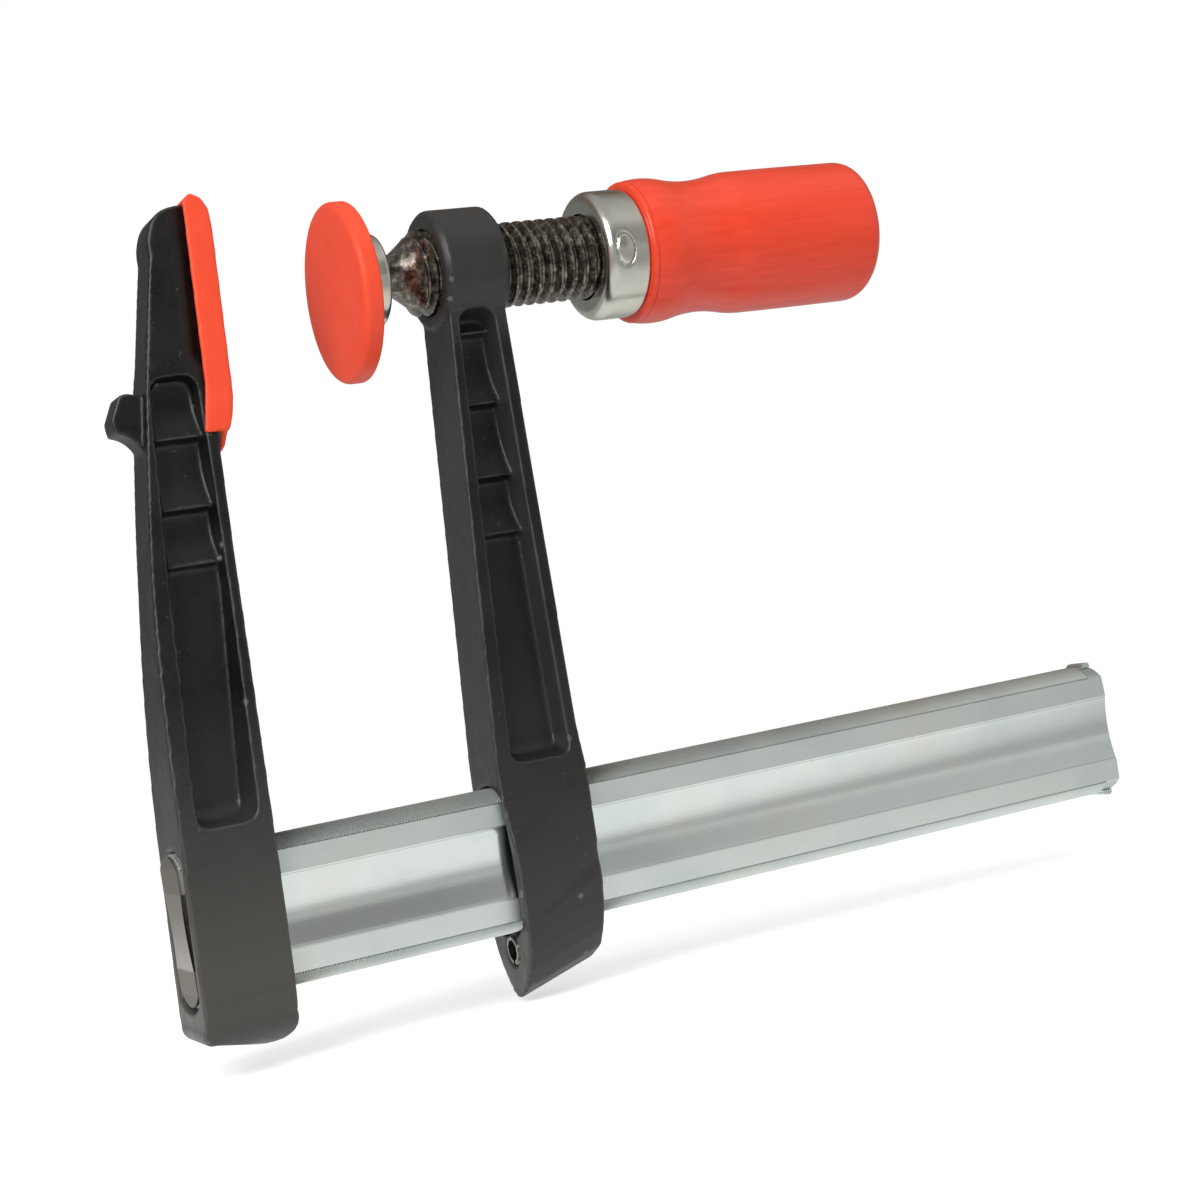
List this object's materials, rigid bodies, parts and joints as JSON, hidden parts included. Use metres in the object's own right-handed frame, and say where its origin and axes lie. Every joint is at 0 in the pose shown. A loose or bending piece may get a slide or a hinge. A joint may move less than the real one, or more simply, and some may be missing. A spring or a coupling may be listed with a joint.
{
  "type": "quick release bar clamp",
  "caption": "Cast-iron bar clamp with a sliding arm on a grooved steel rail, a screw spindle with a swivel plate, soft jaw caps and a turned wooden handle.",
  "frame": {"origin": "on the clamping face of the fixed jaw's cap, where the spindle axis meets it", "axes": "+X along the rail from the fixed jaw towards the handle, +Z from the rail up along the arms to the spindle, +Y across the clamp"},
  "size_m": [0.206, 0.0344, 0.1599],
  "materials": {
    "zinc_steel": "bright zinc plating with a faint green-grey tint",
    "black_casting": "satin black powder coat on a cast skin",
    "red_plastic": "soft moulded plastic, satin",
    "oiled_steel": "blackened and oiled",
    "spring_steel": "plain spring steel",
    "red_wood": "red lacquer"
  },
  "bodies": {
    "frame": {"rail": "zinc_steel", "fixed_arm": "black_casting", "fixed_jaw_cap": "red_plastic"},
    "slider": {"sliding_arm": "black_casting", "roll_pin": "spring_steel"},
    "carrier": {"thrust_cup": "oiled_steel"},
    "screw": {"spindle": "oiled_steel", "ferrule": "zinc_steel", "handle": "red_wood", "handle_pin": "spring_steel"},
    "plate": {"pressure_plate": "zinc_steel", "retaining_ring": "spring_steel", "plate_cap": "red_plastic"}
  },
  "joints": [
    {"name": "arm_slide", "type": "slide", "parent": "frame", "child": "slider", "axis": [1, 0, 0], "range_m": [-0.0025, 0.122]},
    {"name": "spindle_feed", "type": "slide", "parent": "slider", "child": "carrier", "axis": [-1, 0, 0], "range_m": [-0.008, 0.0175]},
    {"name": "spindle_turn", "type": "hinge", "parent": "carrier", "child": "screw", "pos_m": [0.0326, 0, 0], "axis": [-1, 0, 0], "range_deg": [-1199, 2624]},
    {"name": "plate_tilt", "type": "hinge", "parent": "carrier", "child": "plate", "pos_m": [0.0326, 0, 0], "axis": [0, 1, 0], "range_deg": [-8, 8]}
  ],
  "couplings": [
    {"joint": "spindle_feed", "follows": "spindle_turn", "m_per_rad": 0.00038197}
  ]
}
